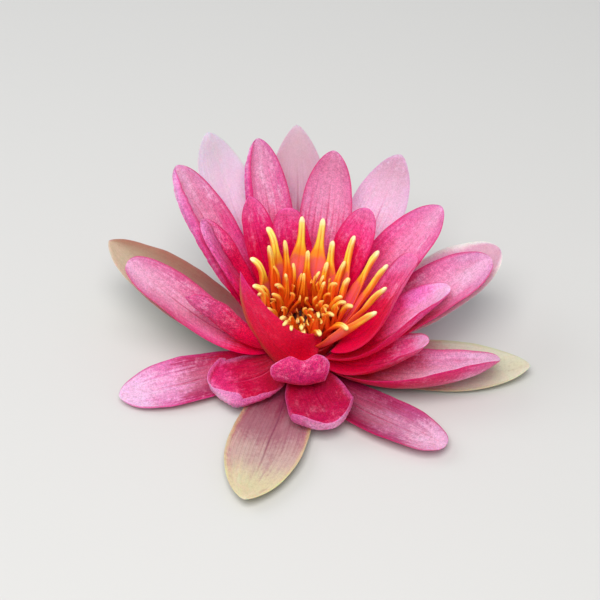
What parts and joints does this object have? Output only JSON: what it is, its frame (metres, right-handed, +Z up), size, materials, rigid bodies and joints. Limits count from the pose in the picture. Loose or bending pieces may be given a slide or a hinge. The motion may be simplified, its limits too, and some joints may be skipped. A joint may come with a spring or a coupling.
{
  "type": "water lily flower",
  "caption": "Open water lily flower with pale sepals, rings of cupped pointed petals and a crown of strap-shaped stamens, cut with a short stalk stub.",
  "frame": {"origin": "middle of the flower's footprint, at the level of the surface it rests on", "axes": "+Z up out of the flower; +X to the right across its longest spread; -Y towards the open side, where one sepal lies forward"},
  "size_m": [0.13, 0.104, 0.058],
  "materials": {
    "sepal": "satin, pale greenish buff inside flushed with mauve",
    "outer_petal": "satin, pale lilac pink",
    "middle_petal": "satin, rose pink paling to the tip",
    "inner_petal": "satin, crimson at the base and pink at the tip",
    "stamen": "satin, orange with pale yellow anthers",
    "ovary": "matt, yellow green",
    "stem": "matt, dull green"
  },
  "bodies": {
    "root": {"inner_petal_back": "inner_petal", "inner_petal_back_left": "inner_petal", "inner_petal_back_right": "inner_petal", "inner_petal_front": "inner_petal", "inner_petal_front_left": "inner_petal", "inner_petal_front_right": "inner_petal", "inner_petal_front_wall": "inner_petal", "inner_petal_left": "inner_petal", "inner_petal_left_back": "inner_petal", "inner_petal_right": "inner_petal", "inner_petal_right_back": "inner_petal", "inner_petal_right_low": "inner_petal", "middle_petal_back": "middle_petal", "middle_petal_back_left": "middle_petal", "middle_petal_front_right": "middle_petal", "middle_petal_left": "middle_petal", "middle_petal_left_back": "middle_petal", "middle_petal_left_low": "middle_petal", "middle_petal_right": "middle_petal", "middle_petal_right_back": "middle_petal", "middle_petal_right_low": "middle_petal", "outer_petal_back_left": "outer_petal", "outer_petal_back_right": "outer_petal", "outer_petal_right": "outer_petal", "ovary": "ovary", "sepal_back": "sepal", "sepal_front": "sepal", "sepal_left": "sepal", "sepal_right": "sepal", "stamen_01": "stamen", "stamen_02": "stamen", "stamen_03": "stamen", "stamen_04": "stamen", "stamen_05": "stamen", "stamen_06": "stamen", "stamen_07": "stamen", "stamen_08": "stamen", "stamen_09": "stamen", "stamen_10": "stamen", "stamen_11": "stamen", "stamen_12": "stamen", "stamen_13": "stamen", "stamen_14": "stamen", "stamen_15": "stamen", "stamen_16": "stamen", "stamen_17": "stamen", "stamen_18": "stamen", "stamen_19": "stamen", "stamen_20": "stamen", "stamen_21": "stamen", "stamen_22": "stamen", "stamen_23": "stamen", "stamen_24": "stamen", "stamen_25": "stamen", "stamen_26": "stamen", "stamen_27": "stamen", "stamen_28": "stamen", "stamen_29": "stamen", "stamen_30": "stamen", "stem_stub": "stem"}
  },
  "joints": []
}
